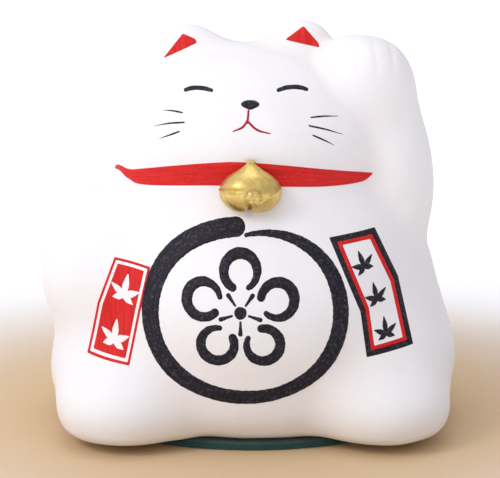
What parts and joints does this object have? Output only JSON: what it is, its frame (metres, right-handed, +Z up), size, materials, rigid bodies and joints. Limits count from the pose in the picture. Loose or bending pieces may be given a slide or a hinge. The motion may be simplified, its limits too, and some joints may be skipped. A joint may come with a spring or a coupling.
{
  "type": "beckoning cat figurine",
  "caption": "Sitting ceramic cat coin bank with one paw raised, closed eyes, a collar with a bell, painted belly marks and a felt base.",
  "frame": {"origin": "middle of the whole figure's footprint, on the surface that the felt base rests on", "axes": "+Z up, the cat faces -Y, +X is the viewer's right and the raised paw's side"},
  "size_m": [0.2296, 0.2016, 0.2188],
  "materials": {
    "ceramic": "matte",
    "black_paint": "matte, slightly mottled brush paint",
    "red_paint": "matte brush paint",
    "gold_paint": "brushed gold paint",
    "green_felt": "felt",
    "rubber": "matte"
  },
  "bodies": {
    "root": {"back_shell": "ceramic", "base_felt": "green_felt", "bell": "gold_paint", "belly_blossom_heart": "black_paint", "belly_petal_1": "black_paint", "belly_petal_2": "black_paint", "belly_petal_3": "black_paint", "belly_petal_4": "black_paint", "belly_petal_5": "black_paint", "belly_ring": "black_paint", "belly_stamen_1": "black_paint", "belly_stamen_2": "black_paint", "belly_stamen_3": "black_paint", "belly_stamen_4": "black_paint", "belly_stamen_5": "black_paint", "collar": "red_paint", "front_shell": "ceramic", "left_ear_inside": "red_paint", "left_eye": "black_paint", "left_label_border": "red_paint", "left_label_field": "red_paint", "left_whisker_bottom": "black_paint", "left_whisker_middle": "black_paint", "left_whisker_top": "black_paint", "mouth": "red_paint", "nose": "black_paint", "right_ear_inside": "red_paint", "right_eye": "black_paint", "right_label_frame": "black_paint", "right_label_inner_frame": "red_paint", "right_label_spray_1": "black_paint", "right_label_spray_2": "black_paint", "right_label_spray_3": "black_paint", "right_whisker_bottom": "black_paint", "right_whisker_middle": "black_paint", "right_whisker_top": "black_paint"},
    "stopper": {"stopper": "rubber"}
  },
  "joints": [
    {"name": "stopper_pull", "type": "slide", "parent": "root", "child": "stopper", "axis": [0, 0, -1], "range_m": [0, 0.03]}
  ]
}
